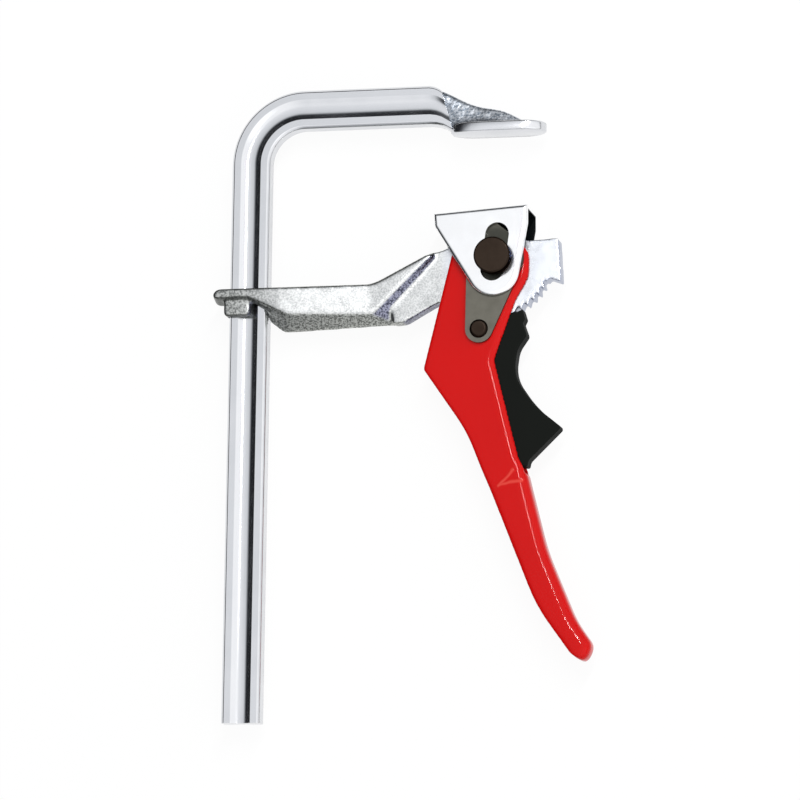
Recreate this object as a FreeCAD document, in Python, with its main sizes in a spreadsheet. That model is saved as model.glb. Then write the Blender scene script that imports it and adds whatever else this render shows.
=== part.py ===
import FreeCAD, Part
import math
import os

import Sketcher

V = FreeCAD.Vector

# Driving sizes in millimetres, angles in degrees. The clamp lies on its side: X runs from the rail
# towards the handle, Y along the rail towards the fixed arm, Z up through the clamp's thickness.
SIZES = [
    ("bar_wide", 22.0, "rail, across its grooved faces' width"),
    ("bar_thick", 10.5, "rail, between its grooved faces"),
    ("bar_drop", 328.2, "rail's free end below the fixed pad's face"),
    ("bar_bevel", 1.5, "rail's four corner bevels"),
    ("groove_wide", 11.0, "rolled groove, at its mouth"),
    ("groove_floor", 3.4, "rolled groove, across its floor"),
    ("groove_deep", 1.8, "rolled groove"),
    ("groove_round", 1.3, "rounding of the groove's floor"),
    ("bend_radius", 30.5, "bend of the rail into the fixed arm, at its middle line"),
    ("arm_height", 17.3, "fixed arm's middle line above the pad's face"),
    ("arm_reach", 91.0, "fixed arm's straight end, from the rail's inner edge"),
    ("pad_near", 103.0, "fixed pad's near end, from the rail's inner edge"),
    ("pad_far", 157.0, "fixed pad's far end, from the rail's inner edge"),
    ("pad_wide", 20.0, "fixed pad's width"),
    ("pad_heel", 9.0, "fixed pad's width at its near end"),
    ("pad_taper", 9.0, "length of the fixed pad's tapered corners"),
    ("pad_thick", 5.6, "fixed pad's thickness"),
    ("pad_round", 9.0, "fixed pad's end corners"),
    ("pad_edge", 1.2, "rounding of the fixed pad's edges"),
    ("pin_reach", 130.7, "main pin's axis from the rail's inner edge"),
    ("pin_drop", 72.6, "main pin's axis below the fixed pad's face"),
    ("pin_radius", 6.3, "main pin's shaft"),
    ("pin_fit", 0.06, "radial clearance of every pin in its hole"),
    ("pin_head_radius", 10.1, "main pin's head"),
    ("pin_head_high", 7.0, "main pin's head"),
    ("pin_head_bevel", 0.8, "bevel of the main pin's head"),
    ("pin_tail", 0.8, "main pin's end beyond its ring"),
    ("ring_groove", 0.9, "depth of the ring's groove in the main pin"),
    ("ring_thick", 1.2, "snap ring"),
    ("ring_wide", 3.4, "snap ring, radially"),
    ("ring_gap", 60.0, "snap ring's opening angle"),
    ("washer_radius", 10.0, "washer on the main pin"),
    ("washer_thick", 1.4, "washer on the main pin"),
    ("slide_gap", 0.35, "loop's window round the rail, on each side"),
    ("loop_thick", 23.0, "sliding arm at the loop"),
    ("loop_wall", 9.85, "loop's strap behind the rail"),
    ("beam_thick", 16.0, "sliding arm's beam near the head"),
    ("head_thick", 10.0, "sliding arm's head plate"),
    ("tooth_radius", 31.4, "toothed sector's tips, about the main pin"),
    ("tooth_deep", 2.8, "teeth"),
    ("tooth_pitch", 8.0, "angle from tooth to tooth"),
    ("tooth_first", -25.0, "angle of the first gap's steep face"),
    ("tooth_count", 6, "gaps in the sector"),
    ("layer_gap", 0.4, "between the head plate and each cheek"),
    ("cheek_thick", 2.8, "lever's coated sheet"),
    ("lever_eye", 16.2, "cheek's round about the main pin"),
    ("lever_drop", 223.8, "lever's tip below the main pin"),
    ("web_start", 118.9, "top of the lever's web below the main pin"),
    ("web_round", 4.4, "outer rounding of the lever's web"),
    ("cheek_edge", 0.9, "rounding of the cheeks' coated edges"),
    ("cam_thick", 2.2, "cam plates"),
    ("cam_base", 12.7, "base radius of the cam's involute"),
    ("cam_end", 7.7, "cam plate's lower end about the lever pin"),
    ("cam_over", 14.0, "turn of the involute past rest, closing"),
    ("cam_under", 42.0, "turn of the involute past rest, opening"),
    ("cam_gap", 0.3, "between the cam's top and the bracket's web"),
    ("lever_pin_left", 8.7, "lever pin's axis left of the main pin"),
    ("lever_pin_drop", 39.4, "lever pin's axis below the main pin"),
    ("lever_pin_radius", 3.45, "lever pin's shaft"),
    ("lever_pin_head", 5.2, "lever pin's heads"),
    ("lever_pin_dome", 2.0, "height of the lever pin's heads"),
    ("jaw_tilt", 3.9, "bracket's tilt at rest, anticlockwise"),
    ("jaw_gap", 0.5, "between each cam plate and the bracket's side"),
    ("jaw_sheet", 2.6, "bracket's sheet"),
    ("jaw_top", 28.15, "bracket's top face above the main pin"),
    ("jaw_left", 32.9, "bracket's left end from the main pin"),
    ("jaw_right", 19.9, "bracket's right end from the main pin"),
    ("jaw_bend", 2.2, "outer bend of the bracket's sheet"),
    ("jaw_nose", 14.9, "bracket's lower round"),
    ("slot_radius", 6.65, "half width of the bracket's slot"),
    ("slot_lean", 11.5, "slot's lean from the bracket's own normal"),
    ("slot_up", 12.9, "slot's upper centre from the main pin"),
    ("slot_down", 6.7, "slot's lower centre from the main pin"),
    ("head_gap", 0.3, "between the bracket and the pin's head or washer"),
    ("pivot_left", 5.1, "trigger's axis left of the main pin"),
    ("pivot_drop", 50.0, "trigger's axis below the main pin"),
    ("pivot_radius", 2.5, "trigger pin"),
    ("pivot_seat", 1.8, "depth of the trigger pin's ends in the cheeks"),
    ("trigger_gap", 0.4, "between the trigger and each cheek"),
    ("nose_gap", 0.4, "between the trigger's nose and the teeth"),
    ("trigger_edge", 0.9, "rounding of the trigger's edges"),
    ("spring_wide", 6.0, "leaf spring's strip"),
    ("spring_thick", 0.6, "leaf spring's strip"),
    ("spring_gap", 0.3, "leaf spring from what it bears on"),
    ("spring_tail", 24.0, "leaf spring's tail below the trigger's axis"),
    ("spring_room", 0.4, "trigger's slot beside the leaf spring"),
]

doc = FreeCAD.newDocument("lever_clamp")
sheet = doc.addObject("Spreadsheet::Sheet", "Sizes")
for row, (alias, number, note) in enumerate(SIZES, start=1):
    sheet.set(f"A{row}", alias)
    sheet.set(f"B{row}", str(number))
    sheet.set(f"C{row}", note)
    sheet.setAlias(f"B{row}", alias)
doc.recompute()


def size(alias):
    return float(sheet.get(alias))


def polar(radius, degrees, x=0.0, y=0.0):
    angle = math.radians(degrees)
    return x + radius * math.cos(angle), y + radius * math.sin(angle)


def rounded(corners, bevelled=False):
    """Edges of a closed outline through corners (x, y, radius), each a tangent arc or its chord."""
    count = len(corners)
    starts = []
    ends = []
    arcs = []
    for index, (x, y, radius) in enumerate(corners):
        here = V(x, y, 0)
        before = (V(*corners[index - 1][:2], 0) - here).normalize()
        after = (V(*corners[(index + 1) % count][:2], 0) - here).normalize()
        turn = before.getAngle(after)
        reach = radius / math.tan(turn / 2) if radius > 0 else 0.0
        first = here + before * reach
        last = here + after * reach
        starts.append(first)
        ends.append(last)
        if reach > 1e-6:
            inward = (before + after).normalize()
            middle = here + inward * (radius / math.sin(turn / 2) - radius)
            arcs.append(Part.LineSegment(first, last) if bevelled else Part.Arc(first, middle, last))
        else:
            arcs.append(None)
    edges = []
    for index in range(count):
        if arcs[index]:
            edges.append(arcs[index])
        following = starts[(index + 1) % count]
        if (following - ends[index]).Length > 1e-5:
            edges.append(Part.LineSegment(ends[index], following))
    return edges


def beside(corners, distance):
    """An open run of corners moved to its right by distance, radii following the turns."""
    lines = []
    for (x0, y0, _), (x1, y1, _) in zip(corners, corners[1:]):
        along = V(x1 - x0, y1 - y0, 0).normalize()
        normal = V(along.y, -along.x, 0)
        lines.append((V(x0, y0, 0) + normal * distance, along))
    moved = []
    first, _ = lines[0]
    moved.append((first.x, first.y, corners[0][2]))
    for index in range(1, len(lines)):
        point, along = lines[index - 1]
        other, onward = lines[index]
        cross = along.x * onward.y - along.y * onward.x
        step = ((other.x - point.x) * onward.y - (other.y - point.y) * onward.x) / cross
        corner = point + along * step
        radius = corners[index][2] + (distance if cross > 0 else -distance)
        moved.append((corner.x, corner.y, max(radius, 0.4)))
    last, along = lines[-1]
    x1, y1, radius = corners[-1]
    moved.append((x1 + along.y * distance, y1 - along.x * distance, radius))
    return moved


def new_body(name):
    piece = doc.addObject("PartDesign::Body", name)
    piece.Label = name
    return piece


def new_sketch(piece, name, role, edges, height=None):
    """A sketch on one of the body's own planes, raised by the expression height."""
    drawing = piece.newObject("Sketcher::SketchObject", name)
    base = next(part for part in piece.Origin.OriginFeatures if part.Role == role)
    drawing.AttachmentSupport = [(base, "")]
    drawing.MapMode = "FlatFace"
    if height:
        drawing.setExpression("AttachmentOffset.Base.z", height)
    drawing.addGeometry(edges, False)
    return drawing


def new_pad(piece, name, drawing, length, symmetric=True, reverse=False):
    feature = piece.newObject("PartDesign::Pad", name)
    feature.Profile = drawing
    feature.setExpression("Length", length)
    feature.SideType = "Symmetric" if symmetric else "One side"
    feature.Reversed = reverse
    return feature


def new_pocket(piece, name, drawing, length=None):
    """A pocket both ways from its sketch: through all, or as deep as the expression length."""
    feature = piece.newObject("PartDesign::Pocket", name)
    feature.Profile = drawing
    feature.SideType = "Symmetric"
    if length:
        feature.setExpression("Length", length)
    else:
        feature.Type = "ThroughAll"
    return feature


def drill(piece, name, x, y, radius, length=None):
    """A round hole along Z; x, y and radius are expressions on the sheet."""
    drawing = new_sketch(piece, name + "_circle", "XY_Plane", [Part.Circle(V(1, 1, 0), V(0, 0, 1), 1)])
    drawing.addConstraint(Sketcher.Constraint("Radius", 0, 1.0))
    drawing.setExpression("Constraints[0]", radius)
    drawing.addConstraint(Sketcher.Constraint("DistanceX", -1, 1, 0, 3, 1.0))
    drawing.setExpression("Constraints[1]", x)
    drawing.addConstraint(Sketcher.Constraint("DistanceY", -1, 1, 0, 3, 1.0))
    drawing.setExpression("Constraints[2]", y)
    return new_pocket(piece, name, drawing, length)


def turned(piece, name, outline, bevelled=True):
    """A turned piece from half its section, corners (radius, height, bevel or rounding)."""
    drawing = new_sketch(piece, name + "_section", "XZ_Plane", rounded(outline, bevelled))
    feature = piece.newObject("PartDesign::Revolution", name)
    feature.Profile = drawing
    feature.ReferenceAxis = (drawing, ["V_Axis"])
    feature.Angle = 360
    return feature


def round_edges(piece, name, base, radius, wanted):
    """Fillet of the base feature's edges that the test wanted picks."""
    doc.recompute()
    names = []
    for index, edge in enumerate(base.Shape.Edges, start=1):
        if wanted(edge):
            names.append(f"Edge{index}")
    feature = piece.newObject("PartDesign::Fillet", name)
    feature.Base = (base, names)
    feature.setExpression("Radius", radius)
    return feature


# Layers through the thickness, from the middle plane outwards.
cheek_inner = size("head_thick") / 2 + size("layer_gap")
cheek_outer = cheek_inner + size("cheek_thick")
cam_outer = cheek_outer + size("cam_thick")
jaw_inner = cam_outer + size("jaw_gap")
jaw_outer = jaw_inner + size("jaw_sheet")
CHEEK_INNER = "(Sizes.head_thick / 2 + Sizes.layer_gap)"
CHEEK_OUTER = f"({CHEEK_INNER} + Sizes.cheek_thick)"
CAM_OUTER = f"({CHEEK_OUTER} + Sizes.cam_thick)"
JAW_INNER = f"({CAM_OUTER} + Sizes.jaw_gap)"
JAW_OUTER = f"({JAW_INNER} + Sizes.jaw_sheet)"


# The rail: one grooved steel bar, bent through a right angle and forged flat at its end into the
# fixed pad. Its inner edge is X = 0, and the pad's clamping face is Y = 0.
def make_rail():
    rail = new_body("rail")
    half_wide = size("bar_wide") / 2
    half_thick = size("bar_thick") / 2
    bevel = size("bar_bevel")
    pad_thick = size("pad_thick")

    heel = size("pad_near")
    shoulder = heel + size("pad_taper")
    half_pad = size("pad_wide") / 2
    half_heel = size("pad_heel") / 2
    plate_outline = [
        (heel, half_heel, 2.0),
        (shoulder, half_pad, 6.0),
        (size("pad_far"), half_pad, size("pad_round")),
        (size("pad_far"), -half_pad, size("pad_round")),
        (shoulder, -half_pad, 6.0),
        (heel, -half_heel, 2.0),
    ]
    drawing = new_sketch(rail, "pad_outline", "XZ_Plane", rounded(plate_outline))
    plate = new_pad(rail, "pad_plate", drawing, "Sizes.pad_thick", symmetric=False, reverse=True)
    round_edges(rail, "pad_edges", plate, "Sizes.pad_edge",
                lambda edge: abs(edge.BoundBox.YLength) < 1e-6)

    mouth = size("groove_wide") / 2
    floor = size("groove_floor") / 2
    depth = half_thick - size("groove_deep")
    quarter = [
        (half_wide, half_thick - bevel, 0.4),
        (half_wide - bevel, half_thick, 0.4),
        (mouth, half_thick, 0.6),
        (floor, depth, size("groove_round")),
    ]
    upper = quarter + [(-x, z, radius) for x, z, radius in reversed(quarter)]
    section = upper + [(-x, -z, radius) for x, z, radius in upper]
    section = [(x - half_wide, z, radius) for x, z, radius in section]
    profile = new_sketch(rail, "rail_section", "XZ_Plane", rounded(section), "Sizes.bar_drop")

    middle = -half_wide
    bend = size("bend_radius")
    height = size("arm_height")
    centre = V(middle + bend, height - bend, 0)
    low = V(middle, -size("bar_drop"), 0)
    tangent_low = V(middle, centre.y, 0)
    tangent_high = V(centre.x, height, 0)
    elbow = V(*polar(bend, 135.0, centre.x, centre.y), 0)
    spine = new_sketch(rail, "rail_line", "XY_Plane", [
        Part.LineSegment(low, tangent_low),
        Part.Arc(tangent_low, elbow, tangent_high),
        Part.LineSegment(tangent_high, V(size("arm_reach"), height, 0)),
    ])
    bar = rail.newObject("PartDesign::AdditivePipe", "bent_bar")
    bar.Profile = profile
    bar.Spine = (spine, [])
    doc.recompute()

    # The neck is hammered from the bar's full height down to a low spine on the pad, section by
    # section: distance, underside, top, width below, width above.
    arm_low = height - half_wide
    arm_high = height + half_wide
    reach = size("arm_reach")
    pad_far = size("pad_far")
    stations = [
        (reach, arm_low, arm_high, 10.5, 10.5),
        (reach + 5.5, 1.8, arm_high - 1.4, 10.0, 8.0),
        (heel + 3.0, 0.4, 22.4, 11.0, 6.0),
        (heel + 14.0, 0.6, 16.6, 15.0, 5.0),
        (pad_far - 26.0, 0.8, 15.0, 14.0, 4.6),
        (pad_far - 13.0, 1.0, 10.2, 11.0, 4.0),
        (pad_far - 5.0, 1.2, pad_thick + 0.2, 8.0, 3.0),
    ]
    drawings = []
    for index, (x, under, top, wide_low, wide_high) in enumerate(stations):
        step = 0.22 * (top - under)
        ring = [
            (wide_low / 2 - 1.0, under, 0),
            (wide_low / 2, under + step, 0),
            (wide_high / 2, top - step, 0),
            (wide_high / 2 - 1.2, top, 0),
        ]
        ring += [(-across, up, radius) for across, up, radius in reversed(ring)]
        ring = [(up, across, radius) for across, up, radius in ring]
        drawings.append(new_sketch(rail, f"neck_{index}", "YZ_Plane", rounded(ring)))
        drawings[-1].AttachmentOffset = FreeCAD.Placement(V(0, 0, x), FreeCAD.Rotation())
    neck = rail.newObject("PartDesign::AdditiveLoft", "neck")
    neck.Profile = drawings[0]
    neck.Sections = drawings[1:]
    neck.Ruled = False
    return rail


# The sliding arm: a forging whose loop rides on the rail. Its own frame has Y = 0 at the main pin.
def make_sliding_arm():
    arm = new_body("sliding_arm")
    half_loop = size("loop_thick") / 2
    half_beam = size("beam_thick") / 2
    left = -size("bar_wide") - size("slide_gap") - size("loop_wall") + 0.5
    far = size("pin_reach")

    parting = [
        (left, -11.5, 5.0),
        (far - 70.2, -10.7, 20.0),
        (far - 38.2, 5.6, 8.0),
        (far - 28.9, 5.9, 1.0),
        (far - 54.7, -34.5, 3.0),
        (9.0, -37.3, 6.0),
        (-12.8, -20.1, 5.0),
        (left, -20.6, 3.5),
    ]
    face = [
        (left + 1.2, -13.0, 4.0),
        (far - 70.2, -12.7, 18.0),
        (far - 40.7, 2.4, 6.0),
        (far - 37.5, 3.4, 0.8),
        (far - 77.7, -27.0, 3.0),
        (13.0, -28.0, 8.0),
        (-9.5, -17.8, 6.0),
        (left + 1.7, -18.2, 2.4),
    ]
    flank = arm.newObject("PartDesign::AdditiveLoft", "front_flank")
    flank.Profile = new_sketch(arm, "parting_line", "XY_Plane", rounded(parting))
    flank.Sections = [new_sketch(arm, "front_face", "XY_Plane", rounded(face), "Sizes.loop_thick / 2")]
    mirror = arm.newObject("PartDesign::Mirrored", "rear_flank")
    mirror.Originals = [flank]
    mirror.MirrorPlane = (next(p for p in arm.Origin.OriginFeatures if p.Role == "XY_Plane"), [""])
    arm.Tip = mirror

    # In plan the beam tapers from the loop to the head.
    trims = []
    for side in (1, -1):
        trims += rounded([
            (8.0, side * half_loop, 0),
            (far - 70.7, side * half_beam, 0),
            (far, side * half_beam, 0),
            (far, side * (half_loop + 5), 0),
            (8.0, side * (half_loop + 5), 0),
        ])
    new_pocket(arm, "beam_taper", new_sketch(arm, "beam_plan", "XZ_Plane", trims))

    # The head plate, with the toothed sector about the main pin below it on the right.
    tip = size("tooth_radius")
    root = tip - size("tooth_deep")
    pitch = size("tooth_pitch")
    first = size("tooth_first")
    plate = [
        (far - 60.7, -8.6, 0),
        (far - 38.2, 5.0, 8.0),
        (far - 32.0, 5.7, 20.0),
        (far - 14.0, 13.5, 8.0),
        (far + 12.0, 13.5, 6.0),
        (far + 17.0, 10.4, 3.0),
        (far + 34.6, 11.3, 1.6),
        (far + 36.3, -13.4, 0.6),
        (*polar(tip, first + 4.5, far), 0.4),
    ]
    for index in range(int(size("tooth_count"))):
        steep = first - index * pitch
        plate.append((*polar(tip, steep + 0.8, far), 0))
        plate.append((*polar(root, steep, far), 0))
        plate.append((*polar(tip, steep - pitch + 2.2, far), 0))
    last = first - size("tooth_count") * pitch
    plate += [
        (*polar(tip, last - 1.5, far), 1.0),
        (*polar(tip, last - 18.0, far), 12.0),
        (*polar(tip + 1.0, last - 42.0, far), 12.0),
        (far - 31.1, -21.7, 10.0),
        (far - 51.7, -33.8, 8.0),
        (far - 58.7, -34.4, 0),
    ]
    new_pad(arm, "head_plate", new_sketch(arm, "head_outline", "XY_Plane", rounded(plate)),
            "Sizes.head_thick")

    # A lower band stands on both sides of the loop, below its strap.
    band = [(-24.3, -17.0, 1.0), (-8.7, -17.0, 1.0), (-8.7, -28.0, 2.0), (-24.3, -28.0, 2.0)]
    new_pad(arm, "loop_band", new_sketch(arm, "band_outline", "XY_Plane", rounded(band)),
            "Sizes.loop_thick - 4.5")

    gap = size("slide_gap")
    half_window = size("bar_thick") / 2 + gap
    wide = size("bar_wide")
    window = [
        (gap, half_window, 0.8),
        (gap, -half_window, 0.8),
        (-wide - gap, -half_window, 0.8),
        (-wide - gap, half_window, 0.8),
    ]
    new_pocket(arm, "rail_window", new_sketch(arm, "window_outline", "XZ_Plane", rounded(window)))
    drill(arm, "pin_hole", "Sizes.pin_reach", "0", "Sizes.pin_radius + Sizes.pin_fit")
    return arm


# The main pin and what holds it: a headed pin, a washer and a snap ring behind.
washer_top = -(jaw_outer + size("head_gap"))
ring_top = washer_top - size("washer_thick")
ring_low = ring_top - size("ring_thick")
pin_low = ring_low - size("pin_tail")
ring_inner = size("pin_radius") - size("ring_groove")


def make_main_pin():
    pin = new_body("main_pin")
    shaft = size("pin_radius")
    seat = jaw_outer + size("head_gap")
    top = seat + size("pin_head_high")
    bevel = size("pin_head_bevel")
    turned(pin, "turned_pin", [
        (0, pin_low, 0),
        (ring_inner, pin_low, 0.4),
        (ring_inner, ring_top, 0),
        (shaft, ring_top, 0.3),
        (shaft, seat, 0),
        (size("pin_head_radius"), seat, 0.5),
        (size("pin_head_radius"), top - bevel, 0.3),
        (size("pin_head_radius") - bevel, top, 0.3),
        (0, top, 0),
    ])
    return pin


def make_washer():
    washer = new_body("main_pin_washer")
    bore = size("pin_radius") + size("pin_fit")
    outer = size("washer_radius")
    turned(washer, "turned_washer", [
        (bore, ring_top, 0),
        (outer, ring_top, 0.3),
        (outer, washer_top, 0.3),
        (bore, washer_top, 0),
    ])
    return washer


def make_ring():
    ring = new_body("main_pin_ring")
    inner = ring_inner + size("pin_fit")
    outer = inner + size("ring_wide")
    turned(ring, "flat_ring", [
        (inner, ring_low, 0),
        (outer, ring_low, 0.2),
        (outer, ring_top, 0.2),
        (inner, ring_top, 0),
    ])
    half = size("ring_gap") / 2
    wedge = [
        (*polar(0.5 * inner, -90.0), 0),
        (*polar(2 * outer, -90.0 + half), 0),
        (*polar(2 * outer, -90.0 - half), 0),
    ]
    new_pocket(ring, "ring_opening", new_sketch(ring, "opening_outline", "XY_Plane", rounded(wedge)))
    return ring


# The lever: pressed steel sheet folded to a channel and dipped in red plastic. Two cheeks stand
# either side of the head plate, and a web joins them along the back below the trigger. The front
# edges are those of the coated sheet, and the back edges have the sheet's large bend, so the lever
# is what two outlines share: FRONT bounds it on the left and BACK on the right.
EYE = size("lever_eye")
lever_scale = size("lever_drop") / 223.8


def lever_line(corners):
    """Corners of the lever's outline, which was measured with its tip 223.8 mm below the pin."""
    return [(lever_scale * x, lever_scale * y, lever_scale * radius) for x, y, radius in corners]


BACK = [(EYE, EYE, EYE), (EYE, -11.0, 22.0)] + lever_line([
    (0.1, -56.5, 10.0),
    (14.2, -110.8, 3.0),
    (17.0, -116.0, 4.0),
    (29.0, -162.0, 110.0),
    (45.5, -201.0, 60.0),
    (55.2, -214.5, 5.5),
    (51.4, -223.8, 5.5),
])
FRONT = lever_line([
    (43.0, -219.8, 6.0),
    (23.8, -193.4, 100.0),
    (-15.7, -96.1, 90.0),
    (-40.4, -60.9, 2.5),
    (-24.8, 4.5, 5.0),
    (-14.0, 14.6, 8.0),
])
FAR = 95.0
LOW = -330.0


def make_lever():
    lever = new_body("lever")
    front = [(FAR, 60.0, 9.0), (FAR, -250.0, 9.0)] + FRONT
    blank = new_pad(lever, "front_blank", new_sketch(lever, "front_outline", "XY_Plane", rounded(front)),
                    f"2 * {CHEEK_OUTER}")
    round_edges(lever, "coated_edges", blank, "Sizes.cheek_edge",
                lambda edge: edge.BoundBox.ZLength < 1e-6)
    bend = new_body("lever_bend")
    back = BACK + lever_line([(30.0, -222.5, 6.0)]) + [(-FAR, LOW, 9.0), (-FAR, EYE, 9.0)]
    wide = new_pad(bend, "back_blank", new_sketch(bend, "back_outline", "XY_Plane", rounded(back)),
                   f"2 * {CHEEK_OUTER}")
    round_edges(bend, "sheet_bend", wide, "Sizes.web_round", lambda edge: edge.BoundBox.ZLength < 1e-6)
    shared = lever.newObject("PartDesign::Boolean", "bent_sheet")
    shared.Type = "Common"
    shared.setObjects([bend])

    start = -size("web_start")
    wall = size("cheek_thick")
    inner = beside([(BACK[4][0] + 0.7, start, 0)] + BACK[5:] + FRONT[:1], wall)
    channel = [
        (-FAR, FAR, 0),
        (FAR, FAR, 0),
        (FAR, start, 0),
        *inner[:-1],
        (-FAR, inner[-2][1], 0),
    ]
    new_pocket(lever, "channel", new_sketch(lever, "channel_outline", "XY_Plane", rounded(channel)),
               f"2 * {CHEEK_INNER}")
    drill(lever, "pin_hole", "0", "0", "Sizes.pin_radius + Sizes.pin_fit")
    drill(lever, "rivet_hole", "-Sizes.lever_pin_left", "-Sizes.lever_pin_drop",
          "Sizes.lever_pin_radius + Sizes.pin_fit")
    drill(lever, "trigger_seat", "-Sizes.pivot_left", "-Sizes.pivot_drop",
          "Sizes.pivot_radius + Sizes.pin_fit", f"2 * ({CHEEK_INNER} + Sizes.pivot_seat)")
    return lever


# Cam plates: hardened plates, one on each cheek. The top edge is an involute about the main pin,
# so the flat web above rises by the base radius times the lever's turn.
rest_height = size("jaw_top") - size("jaw_sheet") - size("cam_gap")


def cam_point(turn):
    """Point of the cam that meets the web when the lever stands turn degrees open."""
    base = size("cam_base")
    lift = rest_height - base * math.radians(turn)
    angle = math.radians(size("jaw_tilt") - turn)
    x = -base * math.cos(angle) - lift * math.sin(angle)
    y = -base * math.sin(angle) + lift * math.cos(angle)
    return V(x, y, 0)


def make_cam_plate(name, side):
    plate = new_body(name)
    base = size("cam_base")
    last = size("cam_under")
    hub = rest_height - base * math.radians(last)
    pin = V(-size("lever_pin_left"), -size("lever_pin_drop"), 0)
    end = size("cam_end")
    over = size("cam_over")
    steps = 6
    points = []
    for index in range(steps + 1):
        points.append(cam_point(last - index * (last + over) / steps))
    curve = Part.BSplineCurve()
    curve.interpolate(points)

    # The hub and the lower end are joined by their two common tangents.
    along = V(pin.x, pin.y, 0).normalize()
    lean = math.asin((hub - end) / pin.Length)
    heading = math.atan2(along.y, along.x)
    right = heading + math.pi / 2 - lean
    left = heading - math.pi / 2 + lean
    hub_right = V(hub * math.cos(right), hub * math.sin(right), 0)
    hub_left = V(hub * math.cos(left), hub * math.sin(left), 0)
    end_right = pin + V(end * math.cos(right), end * math.sin(right), 0)
    end_left = pin + V(end * math.cos(left), end * math.sin(left), 0)
    end_low = pin + along * end
    foot = math.radians(90.0 + size("jaw_tilt") - last)
    hub_top = V(hub * math.cos(foot), hub * math.sin(foot), 0)
    halfway = (foot + right) / 2
    hub_middle = V(hub * math.cos(halfway), hub * math.sin(halfway), 0)
    edges = [
        Part.LineSegment(hub_top, points[0]),
        curve,
        Part.LineSegment(points[-1], hub_left),
        Part.LineSegment(hub_left, end_left),
        Part.Arc(end_left, end_low, end_right),
        Part.LineSegment(end_right, hub_right),
        Part.Arc(hub_right, hub_middle, hub_top),
    ]
    height = CHEEK_OUTER if side > 0 else f"-{CHEEK_OUTER}"
    drawing = new_sketch(plate, "cam_outline", "XY_Plane", edges, height)
    new_pad(plate, "cam_sheet", drawing, "Sizes.cam_thick", symmetric=False, reverse=side < 0)
    drill(plate, "pin_hole", "0", "0", "Sizes.pin_radius + Sizes.pin_fit")
    drill(plate, "rivet_hole", "-Sizes.lever_pin_left", "-Sizes.lever_pin_drop",
          "Sizes.lever_pin_radius + Sizes.pin_fit")
    return plate


def make_lever_pin():
    rivet = new_body("lever_pin")
    shaft = size("lever_pin_radius")
    head = size("lever_pin_head")
    top = cam_outer + size("lever_pin_dome")
    turned(rivet, "rivet_body", [
        (0, -top, 0),
        (head - 0.9, -top, 1.2),
        (head, -cam_outer, 0),
        (shaft, -cam_outer, 0),
        (shaft, cam_outer, 0),
        (head, cam_outer, 0),
        (head - 0.9, top, 1.2),
        (0, top, 0),
    ], bevelled=False)
    return rivet


# The pressure bracket: sheet folded over the head, its web the moving jaw. Its own frame has the
# web's normal along Y and the main pin's axis at the origin.
def make_bracket():
    bracket = new_body("pressure_bracket")
    top = size("jaw_top")
    left = -size("jaw_left")
    right = size("jaw_right")
    outline = [
        (left, top, 0.6),
        (left + 0.2, 20.7, 3.0),
        (4.1, -47.9, size("jaw_nose")),
        (right, 17.6, 4.0),
        (right + 0.6, top, 0.6),
    ]
    folded = new_pad(bracket, "folded_sheet",
                     new_sketch(bracket, "side_outline", "XY_Plane", rounded(outline)),
                     f"2 * {JAW_OUTER}")
    round_edges(bracket, "bends", folded, "Sizes.jaw_bend",
                lambda edge: edge.BoundBox.YMin > top - 1e-3 and edge.BoundBox.XLength > 40)
    under = top - size("jaw_sheet")
    inside = [(under, jaw_inner, 0), (under, -jaw_inner, 0), (-60.0, -jaw_inner, 0), (-60.0, jaw_inner, 0)]
    new_pocket(bracket, "inside", new_sketch(bracket, "inside_outline", "YZ_Plane", rounded(inside)))
    lean = math.radians(size("slot_lean"))
    run = V(math.sin(lean), math.cos(lean), 0)
    across = V(run.y, -run.x, 0) * size("slot_radius")
    high = run * size("slot_up")
    low = run * -size("slot_down")
    slot = [
        Part.LineSegment(low + across, high + across),
        Part.Arc(high + across, high + run * size("slot_radius"), high - across),
        Part.LineSegment(high - across, low - across),
        Part.Arc(low - across, low - run * size("slot_radius"), low + across),
    ]
    new_pocket(bracket, "pin_slot", new_sketch(bracket, "slot_outline", "XY_Plane", slot))
    return bracket


# The trigger: a black latch on its own pin between the cheeks. Its nose stands at the teeth, and
# the finger hook stands out at the back. The frame is the main pin's.
PIVOT = V(-size("pivot_left"), -size("pivot_drop"), 0)
rivet_from_pivot = V(-size("lever_pin_left"), -size("lever_pin_drop"), 0) - PIVOT
spring_on_rivet = size("lever_pin_radius") + size("spring_gap") + size("spring_thick") / 2
spring_on_pivot = size("pivot_radius") + size("spring_gap") + size("spring_thick") / 2


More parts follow.
